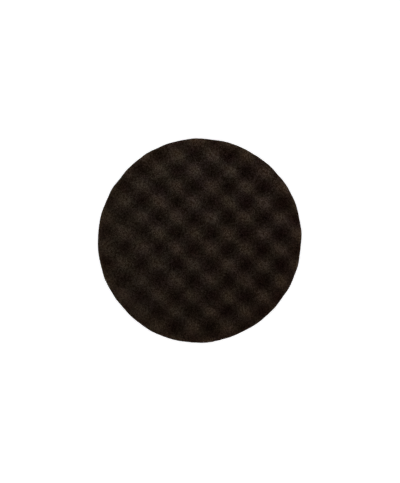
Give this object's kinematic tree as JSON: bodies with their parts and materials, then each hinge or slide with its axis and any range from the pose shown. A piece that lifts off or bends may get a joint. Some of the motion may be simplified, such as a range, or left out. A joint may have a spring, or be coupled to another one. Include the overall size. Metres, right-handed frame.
{
  "type": "foam polishing pad",
  "caption": "Round black waffle-faced foam polishing pad with a recessed hook-and-loop back, for a rotary or orbital car polisher.",
  "frame": {"origin": "on the pad's axis, in the plane of the foam's back rim, which is the lowest plane when the pad lies face up", "axes": "+Z along the pad's axis from the loop back towards the waffle face; +X along the waffle's rows, which are turned 0.7 degrees from it"},
  "size_m": [0.203, 0.203, 0.032],
  "materials": {
    "foam": "matt open-cell polyurethane foam",
    "film": "translucent hot-melt adhesive film",
    "ground_cloth": "warp-knitted nylon ground with a binder coat",
    "pile": "brushed nylon loops"
  },
  "bodies": {
    "root": {"waffle_foam": "foam", "bond_film": "film", "loop_ground": "ground_cloth", "loop_pile": "pile"}
  },
  "joints": []
}
